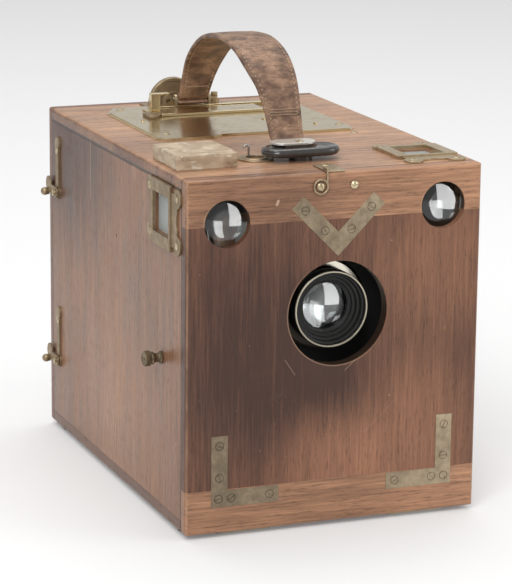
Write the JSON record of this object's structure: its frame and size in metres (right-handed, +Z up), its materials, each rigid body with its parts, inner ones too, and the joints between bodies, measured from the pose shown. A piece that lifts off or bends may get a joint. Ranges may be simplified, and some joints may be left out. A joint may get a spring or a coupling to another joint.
{
  "type": "tropical hand camera",
  "caption": "Brass-bound mahogany box camera with two reflecting finders, a rack-focused lens, a plate magazine behind a hinged door and a leather handle.",
  "frame": {"origin": "centre of the tripod bush's mouth, in the underside of the base board", "axes": "+Z up, the lens looks along -Y, +X is to the right of someone looking at the lens"},
  "size_m": [0.2315, 0.3037, 0.3129],
  "materials": {
    "mahogany": "worn oiled mahogany, upright grain",
    "rail_wood": "worn oiled mahogany, level grain",
    "inner_wood": "blackened wood",
    "aged_brass": "dull worn brass",
    "polished_brass": "polished brass with light scratches",
    "lens_brass": "lacquered brass",
    "steel": "bright drawn steel",
    "black_metal": "matt black japan",
    "lens_glass": "polished glass",
    "ground_glass": "ground glass",
    "mirror_glass": "silvered glass",
    "handle_leather": "creased stitched leather",
    "ebonite": "polished hard rubber",
    "nickel": "dull nickel",
    "pale_wood": "rubbed pale wood",
    "foot_rubber": "matt rubber"
  },
  "bodies": {
    "case": {"base_board": "mahogany", "top_board": "mahogany", "left_side": "mahogany", "right_side": "mahogany", "feet": "foot_rubber", "tripod_bush": "aged_brass", "top_plate": "polished_brass", "slide_rails": "polished_brass", "stop_block": "aged_brass", "corner_block": "pale_wood", "cord_escutcheon": "aged_brass", "finder_boxes": "black_metal", "finder_mirrors": "mirror_glass", "finder_screens": "ground_glass", "finder_window_frames": "aged_brass", "catch_plate": "aged_brass", "latch_plates": "aged_brass", "case_screws": "aged_brass", "focus_runners": "inner_wood", "pinion_bush": "aged_brass", "magazine_frame": "inner_wood", "plate_sheaths": "black_metal", "strap_ring": "ebonite", "strap_washer": "nickel", "rear_bracket": "aged_brass", "handle_strap": "handle_leather", "case_hinge_leaves": "aged_brass", "pivot_pins": "steel"},
    "front": {"front_panel": "mahogany", "front_top_rail": "rail_wood", "front_bottom_rail": "rail_wood", "v_strap": "aged_brass", "corner_brackets": "aged_brass", "front_screws": "aged_brass", "finder_lenses": "lens_glass", "front_hinge_leaves": "aged_brass"},
    "hook": {"front_hook": "aged_brass"},
    "door": {"rear_door": "mahogany", "latch_pins": "aged_brass", "door_hinge_leaves": "aged_brass", "pusher_plate": "inner_wood", "pusher_springs": "steel"},
    "upper_latch": {"upper_latch_hook": "aged_brass"},
    "lower_latch": {"lower_latch_hook": "aged_brass"},
    "focus_drive": {"focus_knob": "aged_brass", "focus_pinion": "aged_brass"},
    "carriage": {"lens_board": "inner_wood", "focus_rack": "aged_brass", "lens_flange": "lens_brass", "lens_barrel": "lens_brass", "lens_glasses": "lens_glass", "shutter_case": "black_metal"},
    "iris": {"iris_ring": "lens_brass"},
    "blade": {"shutter_blade": "black_metal", "setting_wire": "steel"},
    "changer": {"changing_slide": "polished_brass", "finger_piece": "aged_brass"},
    "wheel": {"setting_wheel": "aged_brass"},
    "sheath": {"front_sheath": "black_metal"},
    "release": {"release_button": "aged_brass"}
  },
  "joints": [
    {"name": "front_drop", "type": "hinge", "parent": "case", "child": "front", "pos_m": [0, -0.142, -0.0014], "axis": [1, 0, 0], "range_deg": [0, 88]},
    {"name": "hook_swing", "type": "hinge", "parent": "front", "child": "hook", "pos_m": [-0.012, -0.152, 0.2306], "axis": [0, -1, 0], "range_deg": [0, 50]},
    {"name": "door_swing", "type": "hinge", "parent": "case", "child": "door", "pos_m": [0.1068, 0.142, 0.12], "axis": [0, 0, -1], "range_deg": [0, 170]},
    {"name": "upper_latch_lift", "type": "hinge", "parent": "case", "child": "upper_latch", "pos_m": [-0.1075, 0.126, 0.18], "axis": [1, 0, 0], "range_deg": [0, 75]},
    {"name": "lower_latch_lift", "type": "hinge", "parent": "case", "child": "lower_latch", "pos_m": [-0.1075, 0.126, 0.052], "axis": [1, 0, 0], "range_deg": [0, 75]},
    {"name": "focus_turn", "type": "hinge", "parent": "case", "child": "focus_drive", "pos_m": [-0.105, -0.103, 0.1115], "axis": [1, 0, 0], "range_deg": [0, 90]},
    {"name": "focus_slide", "type": "slide", "parent": "case", "child": "carriage", "axis": [0, -1, 0], "range_m": [0, 0.00785]},
    {"name": "iris_turn", "type": "hinge", "parent": "carriage", "child": "iris", "pos_m": [0.0018, -0.126, 0.1445], "axis": [0, 1, 0], "range_deg": [0, 80]},
    {"name": "blade_lift", "type": "slide", "parent": "carriage", "child": "blade", "axis": [0, 0, 1], "range_m": [0, 0.036]},
    {"name": "changer_slide", "type": "slide", "parent": "case", "child": "changer", "axis": [1, 0, 0], "range_m": [0, 0.018]},
    {"name": "wheel_turn", "type": "hinge", "parent": "case", "child": "wheel", "pos_m": [-0.0156, 0.128, 0.2425], "axis": [0, 1, 0], "continuous": true},
    {"name": "sheath_fall", "type": "hinge", "parent": "case", "child": "sheath", "pos_m": [0, 0.0465, 0.0825], "axis": [1, 0, 0], "range_deg": [0, 95]},
    {"name": "release_press", "type": "slide", "parent": "case", "child": "release", "axis": [-1, 0, 0], "range_m": [0, 0.004], "stiffness_N_per_m": 100, "springref_m": -0.002}
  ],
  "couplings": [
    {"joint": "focus_turn", "follows": "focus_slide", "rad_per_m": 200}
  ]
}
